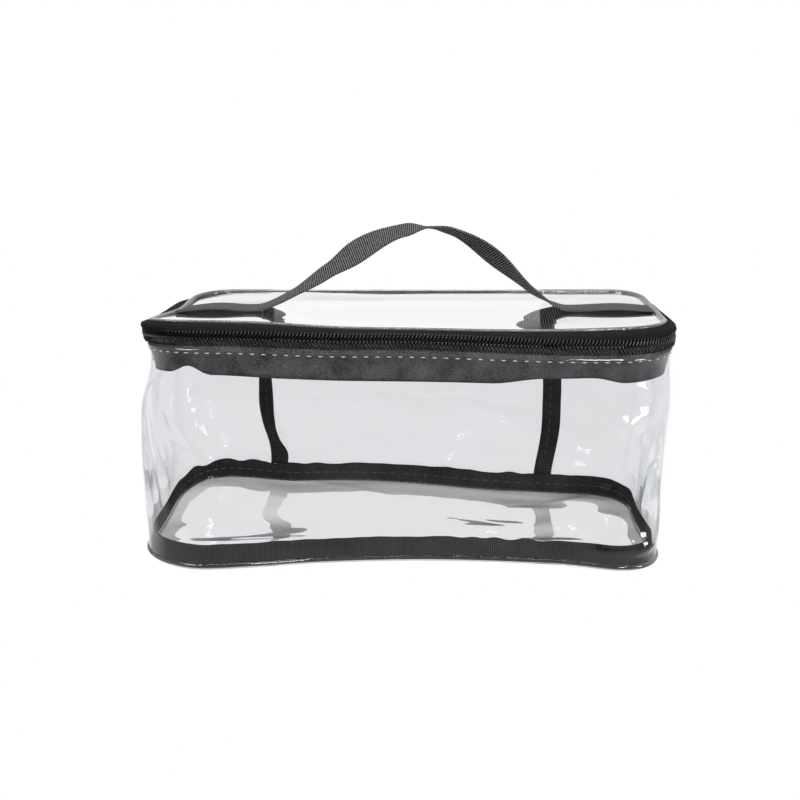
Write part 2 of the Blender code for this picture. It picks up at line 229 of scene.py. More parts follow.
# Pulls on the slack sheet: a place (x, y, rise), how far round it each reaches, and how the sheet moves there.
PULLS = [
    # The zip's front dips to the right, and its back corners are drawn in.
    ((-0.085, -0.047, 0.0), (0.060, 0.050, 0.060), (0.0, 0.0030, 0.0008)),
    ((0.078, -0.047, 0.0), (0.085, 0.045, 0.060), (0.0, -0.0045, -0.0012)),
    ((-0.110, 0.047, 0.004), (0.060, 0.080, 0.050), (0.0045, 0.0, 0.0)),
    ((0.118, 0.047, 0.004), (0.042, 0.080, 0.050), (-0.0056, 0.0, 0.0)),
    # The lid leans to the right, and sags towards its front edge, most in the middle.
    ((0.110, 0.0, 0.0130), (0.210, 0.200, 0.0125), (0.0072, 0.0, 0.0)),
    ((-0.090, 0.040, 0.0130), (0.060, 0.070, 0.0125), (0.0040, 0.0, 0.0)),
    ((-0.097, -0.037, 0.0130), (0.045, 0.040, 0.0125), (-0.0085, -0.0022, -0.0004)),
    ((0.0, -0.020, 0.0130), (0.600, 0.065, 0.0125), (0.0, 0.0, -0.0048)),
    ((0.005, -0.037, 0.0110), (0.110, 0.040, 0.0105), (0.0, -0.0010, -0.0026)),
    # The wall's foot: out at the left front, back in the middle, in at the right.
    ((-0.110, -0.020, -0.100), (0.070, 0.055, 0.100), (-0.0060, 0.0, 0.0)),
    ((-0.095, 0.040, -0.100), (0.045, 0.040, 0.060), (0.0, 0.0020, 0.0030)),
    ((-0.085, -0.047, -0.100), (0.045, 0.040, 0.080), (0.0, -0.0025, 0.0)),
    ((0.005, -0.047, -0.100), (0.100, 0.060, 0.080), (0.0, 0.0065, 0.0006)),
    ((0.108, -0.047, -0.100), (0.045, 0.050, 0.070), (0.0035, -0.0070, 0.0)),
    ((0.110, 0.010, -0.100), (0.060, 0.070, 0.100), (-0.0020, 0.0, 0.0)),
    # The back of the base rides up off the table and back, most at the left.
    ((-0.060, 0.047, -0.100), (0.110, 0.050, 0.060), (0.0, 0.0056, 0.0042)),
    ((0.010, 0.047, -0.100), (0.080, 0.050, 0.060), (0.0, 0.0030, 0.0018)),
    # The back seams stand a little to the right.
    ((0.065, 0.047, -0.050), (0.040, 0.030, 0.090), (0.0060, 0.0, 0.0)),
    ((-0.065, 0.047, -0.040), (0.040, 0.030, 0.060), (-0.0024, 0.0, 0.0)),
    ((-0.062, 0.047, -0.078), (0.030, 0.030, 0.016), (0.0016, 0.0010, 0.0)),
    # The sides bulge, and tuck in just under the zip.
    ((-0.110, 0.0, -0.045), (0.050, 0.080, 0.045), (-0.0030, 0.0, 0.0)),
    ((-0.110, -0.01, -0.013), (0.040, 0.090, 0.020), (0.0022, 0.0, 0.0)),
    ((0.110, -0.010, -0.035), (0.050, 0.080, 0.035), (0.0022, 0.0, 0.0)),
]


def slack(x, y, rise):
    """How far the sheet has moved from its firm place."""
    move = Vector((0, 0, 0))
    for where, reach, pull in PULLS:
        share = 1.0
        for value, middle, width in zip((x, y, rise), where, reach):
            share *= bump(value, middle, width)
            if not share:
                break
        else:
            move += share * Vector(pull)
    return move


def tucked_in(x, y, height):
    """Where a place on the zip's outline is when it is drawn in to the base's outline."""
    return Vector((x * base_half_x / half_x, y * base_half_y / half_y + shift, height))


def set_foot(place):
    """Where a place (x, y, height) on the zip's outline is when it belongs to the base."""
    x, y, height = place
    return tucked_in(x, y, height) + slack(x, y, FOOT_RISE + height)


def set_place(place):
    """Where a laid-out place (x, y, rise) is on the finished bag."""
    x, y, rise = place
    if rise >= HANG_START:
        return rim @ Vector((x, y, rise)) + slack(x, y, rise)
    top = rim @ Vector((x, y, HANG_START))
    share = (HANG_START - rise) / (HANG_START - FOOT_RISE)
    return top.lerp(tucked_in(x, y, 0), min(1.0, share)) + slack(x, y, rise)


def stand(distance, inset, rise, put=set_place):
    """A frame on the finished bag: X along the zip, Y outwards and Z up the sheet."""
    def where(d, i, r):
        (x, y), _ = zip_plan.at(d, i)
        return put((x, y, r))
    step = 0.0004
    here = where(distance, inset, rise)
    along = (where(distance + step, inset, rise) - where(distance - step, inset, rise)).normalized()
    up = (where(distance, inset, rise + step) - where(distance, inset, rise - step)).normalized()
    out = up.cross(along).normalized()
    up = along.cross(out)
    return Matrix.Translation(here) @ Matrix((along, out, up)).transposed().to_4x4()


# ---- mesh helpers

def small_mesh(bm, name):
    """Makes the bmesh a mesh on its own, to be copied or staged."""
    mesh = bpy.data.meshes.new(name)
    bm.to_mesh(mesh)
    bm.free()
    return mesh


def add_object(name, data):
    """A new object in the scene."""
    made = bpy.data.objects.new(name, data)
    bpy.context.scene.collection.objects.link(made)
    return made


def keep(bm, name, finish, smooth=True, body=None, stands_for=()):
    """Makes the bmesh a piece of the object with this material."""
    mesh = small_mesh(bm, name)
    obj = add_object(name, mesh)
    mesh.materials.append(finish)
    if smooth:
        mesh.shade_smooth()
    if body:
        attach(obj, body)
    if stands_for:
        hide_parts(*stands_for)
    return obj


def thicken(obj, thickness):
    """Gives a sheet its thickness, half of it to each side."""
    shell = obj.modifiers.new("Thickness", "SOLIDIFY")
    shell.thickness = thickness
    shell.offset = 0.0


def round_edges(obj, width):
    """Takes the sharpness off the edges of a firm piece."""
    edge = obj.modifiers.new("Edge", "BEVEL")
    edge.width = width
    edge.segments = 2
    edge.limit_method = "ANGLE"
    edge.angle_limit = math.radians(50)


def sweep(profile, start, end, step, round_steps=16, closed_profile=False, closed=False):
    """Sweeps a profile of (inset, rise) along the zip's outline, from one distance to another."""
    bm = bmesh.new()
    (x, y), out = zip_plan.at(start)
    verts = [bm.verts.new((x - out.x * inset, y - out.y * inset, rise)) for inset, rise in profile]
    edges = [bm.edges.new(pair) for pair in zip(verts, verts[1:])]
    if closed_profile:
        edges.append(bm.edges.new((verts[-1], verts[0])))
    ends = corner_distances()
    travelled = start
    while travelled < end - 1e-6:
        leg_end, corner = next((leg for leg in ends if leg[0] > travelled + 1e-6), (end, None))
        leg_end = min(leg_end, end)
        if corner is None:
            place, _ = zip_plan.at(travelled + 1e-7)
            target, _ = zip_plan.at(leg_end - 1e-7)
            move = target - place
            steps = max(1, round((leg_end - travelled) / step))
            for _ in range(steps):
                made = bmesh.ops.extrude_edge_only(bm, edges=edges)["geom"]
                edges = [g for g in made if isinstance(g, bmesh.types.BMEdge)
                         and all(v in made for v in g.verts) and not g.link_faces[1:]]
                verts = list({v for e in edges for v in e.verts})
                bmesh.ops.translate(bm, verts=verts, vec=(move.x / steps, move.y / steps, 0))
        else:
            share = (leg_end - travelled) / zip_plan.turn
            made = bmesh.ops.spin(bm, geom=verts + edges, cent=(*corner, 0), axis=(0, 0, 1), dvec=(0, 0, 0),
                                  angle=-math.pi / 2 * share, space=Matrix.Identity(4),
                                  steps=max(1, round(round_steps * share)), use_duplicate=False)["geom_last"]
            edges = [g for g in made if isinstance(g, bmesh.types.BMEdge)]
            verts = [g for g in made if isinstance(g, bmesh.types.BMVert)]
        travelled = leg_end
    if closed:
        bmesh.ops.remove_doubles(bm, verts=bm.verts, dist=1e-5)
    return bm


def corner_distances():
    """The distances at which straight and round stretches end, with the corner's centre for a round one."""
    ends, total = [], 0.0
    for length, origin, way in zip_plan.legs:
        total += length
        ends.append((total, None if isinstance(way, tuple) else origin))
    return ends


def map_ribs(bm):
    """A UV map in metres: along the zip's outline, and up the strip."""
    layer = bm.loops.layers.uv.new("ribs")
    half = zip_plan.length / 2
    for face in bm.faces:
        middle = face.calc_center_median()
        base = zip_plan.along(middle.x, middle.y)
        for loop in face.loops:
            u = zip_plan.along(loop.vert.co.x, loop.vert.co.y)
            u += zip_plan.length * ((base - u > half) - (u - base > half))
            loop[layer].uv = (u * 10, (loop.vert.co.z - inset_of(loop.vert.co)) * 10)


def inset_of(co):
    """How far a laid-out place is inside the zip's outline."""
    place, out = zip_plan.at(zip_plan.along(co.x, co.y))
    return -(co.xy - place).dot(out)


def settle(bm, put=set_place):
    """Moves every laid-out vertex to its place on the finished bag."""
    for vert in bm.verts:
        vert.co = put(vert.co)
    bmesh.ops.recalc_face_normals(bm, faces=bm.faces)


# Creases in the clear sheet, from one (x, y, rise) to another: how wide, and how far each stands out.
CREASES = [
    ((0.088, 0.047, -0.094), (0.104, 0.010, -0.070), 0.0050, 0.0022),
    ((0.092, 0.047, -0.096), (0.107, 0.020, -0.060), 0.0040, -0.0018),
    ((0.100, 0.030, -0.092), (0.110, -0.015, -0.055), 0.0050, 0.0020),
    ((0.107, 0.000, -0.090), (0.110, -0.020, -0.040), 0.0060, -0.0016),
    ((-0.108, 0.010, -0.090), (-0.110, 0.000, -0.030), 0.0060, 0.0016),
    ((-0.098, 0.040, -0.090), (-0.109, 0.020, -0.050), 0.0050, -0.0018),
    ((-0.100, -0.035, -0.085), (-0.108, -0.030, -0.030), 0.0070, 0.0012),
    ((0.101, -0.042, -0.030), (0.088, -0.047, -0.034), 0.0060, 0.0024),
    ((0.088, -0.047, -0.034), (0.099, -0.043, -0.048), 0.0055, 0.0024),
    ((0.092, -0.046, -0.018), (0.106, -0.036, -0.021), 0.0050, 0.0030),
    ((0.070, -0.047, -0.030), (0.082, -0.047, -0.060), 0.0060, -0.0012),
    ((0.082, -0.047, -0.094), (0.102, -0.041, -0.089), 0.0065, 0.0034),
    ((-0.096, -0.045, -0.080), (-0.104, -0.038, -0.030), 0.0060, 0.0016),
    ((-0.086, -0.047, -0.070), (-0.090, -0.046, -0.030), 0.0060, -0.0012),
]


def crumple(bm):
    """Presses the creases into a sheet still laid out, and lets it swell and sink between its seams."""
    for vert in bm.verts:
        x, y, rise = vert.co
        _, out = zip_plan.at(zip_plan.along(x, y))
        loose = ease(-rise, 0.012, 0.030) * ease(rise, -0.0985, -0.086)
        swell = 0.0016 * noise.noise(Vector((x * 28, y * 28, rise * 20 + 3)))
        swell += 0.0005 * noise.noise(Vector((x * 90, y * 90, rise * 50 + 9)))
        for start, end, width, depth in CREASES:
            first, run = Vector(start), Vector(end) - Vector(start)
            share = min(1.0, max(0.0, (vert.co - first).dot(run) / run.length_squared))
            gap = (vert.co - first - share * run).length
            swell += depth * bump(gap, 0.0, width)
        vert.co += Vector((out.x, out.y, 0)) * swell * loose


WRAP = (BACK_SEAM, zip_plan.length - BACK_SEAM)
RING = (0.0, zip_plan.length)


def ring_band(profile, span, closed=False, closed_profile=False, put=set_place):
    """A band or cord swept along the zip's outline, in its place on the finished bag."""
    bm = sweep(profile, *span, BAND_STEP, closed_profile=closed_profile, closed=closed)
    map_ribs(bm)
    settle(bm, put)
    return bm


def round_profile(inset, rise, radius, sides=10):
    """A cord's round profile of (inset, rise)."""
    turns = [2 * math.pi * side / sides for side in range(sides)]
    return [(inset + radius * math.cos(turn), rise + radius * math.sin(turn)) for turn in turns]


def map_grid(bm, uv_at):
    """A UV map over a grid that still reaches from -1 to 1 each way."""
    layer = bm.loops.layers.uv.new("ribs")
    for face in bm.faces:
        for loop in face.loops:
            loop[layer].uv = uv_at(loop.vert.co)


def even(profile, step):
    """The profile's polyline with points added at most a step apart."""
    points = [profile[0]]
    for (i0, r0), (i1, r1) in zip(profile, profile[1:]):
        count = max(1, math.ceil(math.hypot(i1 - i0, r1 - r0) / step))
        points += [(i0 + (i1 - i0) * k / count, r0 + (r1 - r0) * k / count) for k in range(1, count + 1)]
    return points


def rounded_sheet(inset, rise_at, x_cuts=80, y_cuts=36):
    """A sheet that fills the zip's outline at an inset, laid out with rise_at(u, v) over -1 to 1 each way."""
    bm = bmesh.new()
    bmesh.ops.create_grid(bm, x_segments=x_cuts, y_segments=y_cuts, size=1)
    hx, hy, r = half_x - inset, half_y - inset, ZIP_CORNER - inset
    for vert in bm.verts:
        u, v = vert.co.x, vert.co.y
        x, y = u * hx, v * hy
        reach = max(abs(u), abs(v))
        if reach > 0:
            ex, ey = abs(x) / reach, abs(y) / reach
            if ex > hx - r and ey > hy - r:
                cx, cy = hx - r, hy - r
                a, b, c = ex * ex + ey * ey, -2 * (ex * cx + ey * cy), cx * cx + cy * cy - r * r
                share = (-b + math.sqrt(b * b - 4 * a * c)) / (2 * a)
                x, y = x * share, y * share
        vert.co = (x, y, rise_at(u, v))
    return bm


# ---- materials

def new_material(name):
    """An empty material, its node tree and its output."""
    made = bpy.data.materials.new(name)
    made.use_nodes = True
    tree = made.node_tree
    tree.nodes.clear()
    output = tree.nodes.new("ShaderNodeOutputMaterial")
    return made, tree, output


def node(tree, kind, **inputs):
    """A new shader node with these input values."""
    made = tree.nodes.new(kind)
    for name, value in inputs.items():
        made.inputs[name.replace("_", " ")].default_value = value
    return made


def ramp(tree, stops):
    """A colour ramp through (position, colour) stops."""
    made = tree.nodes.new("ShaderNodeValToRGB")
    elements = made.color_ramp.elements
    while len(elements) < len(stops):
        elements.new(0.5)
    for element, (position, colour) in zip(elements, stops):
        element.position = position
        element.color = (*colour, 1)
    return made


def clear_pvc(name, tint, roughness, mirrors):
    """Thin clear vinyl. Light goes straight through, and the more the sheet is slanted, the more it mirrors.

    The mirrors are pairs: how far the sheet is turned from facing the eye, 0 to 1, and the share it mirrors
    then. Only the side that faces the eye mirrors.
    """
    made, tree, output = new_material(name)
    link = tree.links.new
    slant = node(tree, "ShaderNodeLayerWeight", Blend=0.5)
    # See-through colour: the sheet's own grey tint, darkening to a bluish grey where the sheet is slanted. The
    # darkening is painted shade for the dark lines along its edges and folds.
    depth = ramp(tree, [(0.72, tint), (1.0, (0.62, 0.65, 0.70))])
    through = tree.nodes.new("ShaderNodeBsdfTransparent")
    mirror = node(tree, "ShaderNodeBsdfGlossy", Color=(1, 1, 1, 1), Roughness=roughness)
    curve = ramp(tree, [(turned, (share, share, share)) for turned, share in mirrors])
    side = tree.nodes.new("ShaderNodeNewGeometry")
    facing = node(tree, "ShaderNodeMath")
    facing.operation = "SUBTRACT"
    facing.inputs[0].default_value = 1
    share = tree.nodes.new("ShaderNodeMath")
    share.operation = "MULTIPLY"
    mix = tree.nodes.new("ShaderNodeMixShader")
    link(slant.outputs["Facing"], depth.inputs[0])
    link(depth.outputs[0], through.inputs[0])
    link(slant.outputs["Facing"], curve.inputs[0])
    link(side.outputs["Backfacing"], facing.inputs[1])
    link(curve.outputs[0], share.inputs[0])
    link(facing.outputs[0], share.inputs[1])
    link(share.outputs[0], mix.inputs[0])
    link(through.outputs[0], mix.inputs[1])
    link(mirror.outputs[0], mix.inputs[2])
    link(mix.outputs[0], output.inputs[0])
    return made


def clear_cord(name, clearness):
    """Solid vinyl cord, which bends light like a rod of glass. Below a clearness of 1 it turns milky."""
    made, tree, output = new_material(name)
    shader = node(tree, "ShaderNodeBsdfPrincipled", Base_Color=(0.86, 0.87, 0.88, 1),
                  Roughness=0.06, IOR=1.5)
    shader.inputs["Transmission Weight"].default_value = clearness
    tree.links.new(shader.outputs[0], output.inputs[0])
    return made


def woven(name, dark, light, pitch, roughness, depth, twill=0.0, mottle=0.0):
    """Black woven tape: ribs along its UV map, flecks where fibres catch the light, and patches of wear. Rib
    crests and flecks are painted highlights.
    """
    made, tree, output = new_material(name)
    link = tree.links.new
    uv = tree.nodes.new("ShaderNodeUVMap")
    uv.uv_map = "ribs"
    turn = node(tree, "ShaderNodeMapping", Rotation=(0, 0, twill))
    ribs = node(tree, "ShaderNodeTexWave", Scale=0.1 / pitch / 20 * 2 * math.pi, Distortion=0.6,
                Detail=2.0, Detail_Scale=3.0)
    fibre = node(tree, "ShaderNodeTexNoise", Scale=1300.0, Detail=2.0)
    patches = node(tree, "ShaderNodeTexNoise", Scale=110.0, Detail=4.0)
    wear_and_highlights = node(tree, "ShaderNodeMixRGB", Fac=mottle)
    coordinates = tree.nodes.new("ShaderNodeTexCoord")
    both = node(tree, "ShaderNodeMixRGB", Fac=0.55)
    # The colour is lighter where ribs and fibres stand highest: painted highlights on their crests, mixed with
    # patches of wear.
    shades = ramp(tree, [(0.45, dark), (0.63, light)])
    shader = node(tree, "ShaderNodeBsdfPrincipled", Roughness=roughness)
    shader.inputs["Specular IOR Level"].default_value = 0.05
    relief = node(tree, "ShaderNodeBump", Strength=0.8, Distance=depth)
    link(uv.outputs[0], turn.inputs[0])
    link(turn.outputs[0], ribs.inputs[0])
    link(coordinates.outputs["Object"], fibre.inputs[0])
    link(ribs.outputs[0], both.inputs[1])
    link(fibre.outputs[0], both.inputs[2])
    link(coordinates.outputs["Object"], patches.inputs[0])
    link(both.outputs[0], wear_and_highlights.inputs[1])
    link(patches.outputs[0], wear_and_highlights.inputs[2])
    link(wear_and_highlights.outputs[0], shades.inputs[0])
    link(shades.outputs[0], shader.inputs["Base Color"])
    link(both.outputs[0], relief.inputs["Height"])
    link(relief.outputs[0], shader.inputs["Normal"])
    link(shader.outputs[0], output.inputs[0])
    return made


def plain(name, colour, roughness, metallic=0.0, grain=0.0, coat=0.0, shine=0.5):
    """A moulded or spun finish with a little unevenness in its gloss."""
    made, tree, output = new_material(name)
    link = tree.links.new
    coordinates = tree.nodes.new("ShaderNodeTexCoord")
    speckle = node(tree, "ShaderNodeTexNoise", Scale=700.0, Detail=4.0)
    gloss = node(tree, "ShaderNodeMapRange")
    gloss.inputs["To Min"].default_value = roughness * 0.8
    gloss.inputs["To Max"].default_value = min(1.0, roughness * 1.25)
    shader = node(tree, "ShaderNodeBsdfPrincipled", Base_Color=(*colour, 1), Metallic=metallic)
    shader.inputs["Coat Weight"].default_value = coat
    shader.inputs["Specular IOR Level"].default_value = shine
    link(coordinates.outputs["Object"], speckle.inputs[0])
    link(speckle.outputs[0], gloss.inputs[0])
    link(gloss.outputs[0], shader.inputs["Roughness"])
    if grain:
        relief = node(tree, "ShaderNodeBump", Strength=0.6, Distance=grain)
        link(speckle.outputs[0], relief.inputs["Height"])
        link(relief.outputs[0], shader.inputs["Normal"])
    link(shader.outputs[0], output.inputs[0])
    return made


vinyl = clear_pvc("clear_vinyl", (0.936, 0.939, 0.945), 0.03,
                  [(0.0, 0.04), (0.4, 0.06), (0.7, 0.24), (1.0, 0.95)])
flat_vinyl = clear_pvc("clear_vinyl_flat", (0.945, 0.947, 0.951), 0.02,
                       [(0.0, 0.07), (0.4, 0.12), (0.68, 0.62), (0.80, 0.86), (1.0, 0.98)])
foot_cord_vinyl = clear_cord("clear_vinyl_cord_foot", 1.0)
lid_cord_vinyl = clear_cord("clear_vinyl_cord_lid", 0.94)
grosgrain = woven("black_grosgrain", (0.001, 0.001, 0.0012), (0.026, 0.026, 0.028),
                  GROSGRAIN_PITCH, 0.8, 0.00025, mottle=0.30)
zip_cloth = woven("black_zip_cloth", (0.0005, 0.0005, 0.0006), (0.009, 0.009, 0.010),
                  TWILL_PITCH, 0.8, 0.00015, twill=0.6)
# The lower tape is the same black cloth as the upper one, painted lighter: painted highlight of the clear wall
# that laps over it.
highlit_zip_cloth = woven("black_zip_cloth_highlit", (0.006, 0.006, 0.0065), (0.110, 0.110, 0.115),
                  TWILL_PITCH, 0.8, 0.00015, twill=0.6, mottle=0.35)
webbing = woven("black_webbing", (0.004, 0.004, 0.0045), (0.095, 0.095, 0.100), WEBBING_PITCH, 0.7, 0.0003)
coil_nylon = plain("black_coil_nylon", (0.001, 0.001, 0.0012), 0.22, shine=0.3)
seam_thread = plain("pale_seam_thread", (0.33, 0.33, 0.34), 0.6, grain=0.0001)
dark_thread = plain("dark_seam_thread", (0.014, 0.014, 0.015), 0.6, grain=0.0001)
enamel = plain("black_enamel", (0.008, 0.008, 0.009), 0.22, metallic=0.3, coat=0.4)


# ---- clear sheets

def build_wall():
    """One sheet round front, sides and back corners, lapped over the lower zip tape at its top."""
    profile = even([(0.0002, LIP_RISE), (SHOULDER_INSET - 0.0011, SHOULDER_RISE), (0.0018, HANG_START),
                    (0.0012, FOOT_RISE + 0.0006)], SHEET_STEP)
    bm = sweep(profile, *WRAP, SHEET_STEP, 18)
    crumple(bm)
    settle(bm)
    wall = keep(bm, "wall_sheet", vinyl, body="bag", stands_for=["wall_panel"])
    thicken(wall, SHEET)


def build_back():
    """The back sheet, which runs on past the zip's ends up to the lid and bends there as the hinge."""
    bm = bmesh.new()
    bmesh.ops.create_grid(bm, x_segments=40, y_segments=40, size=1)
    profile = even([(0.0012, -0.0995), (0.0010, HANG_START), (0.0, 0.0), (0.0, FOLD_RISE),
                    (0.0008, 0.0068), (0.0024, 0.0080), (0.0052, 0.0088), (0.0092, 0.0092)], 0.0005)
    for vert in bm.verts:
        share = (vert.co.y + 1) / 2 * (len(profile) - 1)
        index = min(len(profile) - 2, int(share))
        part = share - index
        inset = profile[index][0] * (1 - part) + profile[index + 1][0] * part
        rise = profile[index][1] * (1 - part) + profile[index + 1][1] * part
        vert.co = (vert.co.x * BACK_SEAM, half_y - inset, rise)
    crumple(bm)
    settle(bm)
    sheet = keep(bm, "back_sheet", vinyl, stands_for=["back_panel", "hinge_panel"])
    thicken(sheet, SHEET)
    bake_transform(sheet)


# A crease across the base, from one place to another seen from above, with its height and its width.
FLOOR_CREASE = (Vector((-0.049, 0.042)), Vector((0.057, -0.004)))
FLOOR_CREASE_HEIGHT = 0.00014
FLOOR_CREASE_WIDTH = 0.0036


def off_line(co, line):
    """How far a place is from a crease, seen from above."""
    start, end = line
    run = end - start
    share = min(1.0, max(0.0, (co.xy - start).dot(run) / run.length_squared))
    return (co.xy - start - share * run).length


def base_height(u, v):
    """The base's sheet lies nearly flat, with long ripples."""
    edge = 1 - max(abs(u), abs(v)) ** 6
    return 0.0012 + 0.0018 * edge * (0.5 + noise.noise(Vector((u * 2.8, v * 2.6, 5.0))))


def build_base():
    """The clear sheet the bag stands on."""
    bm = rounded_sheet(0.0030, base_height, 120, 60)
    for vert in bm.verts:
        gap = off_line(vert.co, FLOOR_CREASE)
        vert.co.z += FLOOR_CREASE_HEIGHT * bump(gap, 0.0, FLOOR_CREASE_WIDTH)
    settle(bm, put=set_foot)
    sheet = keep(bm, "base_sheet", flat_vinyl, body="bag", stands_for=["base_panel"])
    thicken(sheet, SHEET)


def lid_rise(u, v):
    """The lid's sheet is a little pillowed, and uneven."""
    pillow = (1 - u * u) * (1 - v * v)
    return LID_RISE + 0.0015 * pillow + 0.0006 * noise.noise(Vector((u * 3, v * 2, 1.5)))


def build_lid():
    """The clear sheet of the lid, inside its cord."""
    bm = rounded_sheet(LID_INSET + 0.0004, lid_rise)
    settle(bm)
    sheet = keep(bm, "lid_sheet", flat_vinyl, body="lid", stands_for=["lid_panel"])
    thicken(sheet, SHEET)


def build_pipings():
    """The clear cords round the lid and round the foot."""
    bm = ring_band(round_profile(LID_INSET, LID_RISE + 0.0003, PIPING_RADIUS), RING,
                   closed=True, closed_profile=True)
    keep(bm, "lid_edge_cord", lid_cord_vinyl, body="lid", stands_for=["lid_piping"])
    bm = ring_band(round_profile(PIPING_RADIUS, PIPING_RADIUS, PIPING_RADIUS), RING,
                   closed=True, closed_profile=True, put=set_foot)
    keep(bm, "base_edge_cord", foot_cord_vinyl, body="bag", stands_for=["base_piping"])


# ---- bindings and tapes

# How far the free edge of each back strip has come away from the sheet, in radians.
STRIP_TURNS = {"left": 0.85, "right": 0.15}


def strip_place(side, word, across, rise, lift=0.0):
    """A place on a back strip, this far across it from the seam and this far off its inner face."""
    turned = STRIP_TURNS[word] * ease(rise, -0.088, -0.070)
    x = side * (BACK_SEAM - across * math.cos(turned) + lift * math.sin(turned))
    place = set_place((x, half_y - 0.0022 - across * math.sin(turned) - lift * math.cos(turned), rise))
    return place + 0.0008 * noise.noise_vector(place * 60 + Vector((0, 0, 17)))


def pucker(bm):
    """Gathers the base binding's upper edge, most where the back corners draw it in."""
    for vert in bm.verts:
        x, y, height = vert.co
        gathered = 0.0004 + 0.0022 * bump(x, -0.085, 0.070) * ease(y, 0.0, 0.040)
        gathered += 0.0012 * bump(x, 0.045, 0.035)
        ripple = noise.noise(Vector((x * 130, y * 130, 2.0)))
        vert.co.z += gathered * ripple * ease(height, 0.003, 0.010)


def build_bindings():
    """Black grosgrain over the inside of every seam."""
    base_profile = even([(0.0013, 0.0010), (0.0030, 0.0026), (0.0034, 0.0008 + BINDING_WIDTH)], TAPE_STEP)
    bm = sweep(base_profile, *RING, SHEET_STEP, closed=True)
    map_ribs(bm)
    pucker(bm)
    settle(bm, put=set_foot)
    base = keep(bm, "base_binding_tape", grosgrain, body="bag", stands_for=["base_binding"])
    thicken(base, BINDING)
    lid_profile = even([(LID_INSET, LID_RISE + 0.0008), (LID_INSET + 0.0002, LID_RISE - 0.0012),
                        (LID_INSET + 0.0040, LID_RISE - 0.0026)], 0.0012)
    bm = ring_band(lid_profile, RING, closed=True)
    lid = keep(bm, "lid_binding_tape", grosgrain, body="lid", stands_for=["lid_binding"])
    thicken(lid, BINDING)
    for side, word in ((-1, "left"), (1, "right")):
        bm = bmesh.new()
        bmesh.ops.create_grid(bm, x_segments=6, y_segments=46, size=1)
        map_grid(bm, lambda co: (co.y * 0.5, co.x * 0.04))
        for vert in bm.verts:
            rise = STRIP_FOOT + (vert.co.y + 1) / 2 * (-STRIP_FOOT + FOLD_RISE + 0.0006)
            vert.co = strip_place(side, word, (1 + vert.co.x) * BACK_BINDING_WIDTH / 2, rise)
        bmesh.ops.recalc_face_normals(bm, faces=bm.faces)
        strip = keep(bm, f"back_binding_tape_{word}", grosgrain, stands_for=[f"back_binding_{word}"])
        thicken(strip, BINDING)
        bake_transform(strip)


# Where the lower tape's hem hangs along the front: (x, rise).
HEM_WAVES = [(-0.108, -0.0150), (-0.098, -0.0148), (-0.090, -0.0118), (-0.080, -0.0155),
             (-0.050, -0.0163), (0.0, -0.0168), (0.033, -0.0165), (0.056, -0.0138),
             (0.075, -0.0132), (0.088, -0.0155), (0.104, -0.0150)]


def wave_hem(bm):
    """Lets the tape's hem hang unevenly below its shoulder."""
    for vert in bm.verts:
        x, y, rise = vert.co
        if rise < SHOULDER_RISE:
            if y < 0:
                hem = along_points(HEM_WAVES, x)
            else:
                hem = HEM_RISE + 0.0015 * noise.noise(Vector((x, y, 0)) * 40)
            fall = (rise - SHOULDER_RISE) * (hem - SHOULDER_RISE) / (HEM_RISE - SHOULDER_RISE)
            vert.co.z = SHOULDER_RISE + fall


def build_tapes():
    """The zip's two cloth tapes. The lower one hangs inside the wall, the upper one slopes up to the lid."""
    lower = even([(0.0009, -0.00025), (0.0008, -TAPE_BEND), (SHOULDER_INSET, SHOULDER_RISE),
                  (0.0042, HEM_RISE)], TAPE_STEP)
    bm = sweep(lower, *WRAP, 0.003)
    map_ribs(bm)
    wave_hem(bm)
    settle(bm)
    # The lower tape's cloth is painted lighter than the upper tape's: painted highlight.
    tape = keep(bm, "lower_zip_cloth", highlit_zip_cloth, body="bag", stands_for=["zip_tape_lower"])
    thicken(tape, TAPE)
    upper = even([(0.0009, 0.00025), (0.0007, 0.0044), (0.0034, 0.0072), (0.0088, 0.0090)], TAPE_STEP)
    bm = ring_band(upper, WRAP)
    tape = keep(bm, "upper_zip_cloth", zip_cloth,
                stands_for=["zip_tape_upper", "zip_tape_end_left", "zip_tape_end_right"])
    thicken(tape, TAPE)
    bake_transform(tape)


# ---- zip teeth

def rod(bm, path, sides=6):
    """Adds a round rod through (place, radius) points, closed at both ends."""
    rings = []
    for index, (place, radius) in enumerate(path):
        before, after = path[max(0, index - 1)][0], path[min(len(path) - 1, index + 1)][0]
        turn = (Vector(after) - Vector(before)).to_track_quat("Z", "X").to_matrix().to_4x4()
        made = bmesh.ops.create_circle(bm, segments=sides, radius=radius,
                                       cap_ends=index in (0, len(path) - 1))
        bmesh.ops.transform(bm, verts=made["verts"], matrix=Matrix.Translation(place) @ turn)
        rings.append([edge for edge in bm.edges if all(vert in made["verts"] for vert in edge.verts)])
    for lower, upper in zip(rings, rings[1:]):
        bmesh.ops.bridge_loops(bm, edges=lower + upper)
    bmesh.ops.recalc_face_normals(bm, faces=bm.faces)


def tooth(side):
    """One nylon loop, from its tape edge over to its head at the middle. Side 1 is the upper coil."""
    path = [((-0.0006, -0.0002, 0.0031), 0.00030), ((-0.0006, 0.0007, 0.0029), 0.00038),
            ((-0.0002, 0.0010, 0.0020), 0.00030), ((0.0003, 0.0010, 0.0010), 0.00030),
            ((0.0008, 0.0011, 0.0000), 0.00046), ((0.0009, 0.0005, -0.0005), 0.00030)]
    bm = bmesh.new()
    rod(bm, [((along, out, side * rise), radius) for (along, out, rise), radius in path])
    return small_mesh(bm, "tooth")


def stamp(bm, mesh, matrix):
    """Adds a copy of a small mesh, put in its place by the matrix."""
    first = len(bm.verts)
    bm.from_mesh(mesh)
    bm.verts.ensure_lookup_table()
    bmesh.ops.transform(bm, verts=bm.verts[first:], matrix=matrix)


def row(mesh, distances, inset, rise, put=set_place):
    """Copies of a small mesh along the zip, each standing on the finished bag."""
    bm = bmesh.new()
    for distance in distances:
        stamp(bm, mesh, stand(distance, inset, rise, put))
    return bm


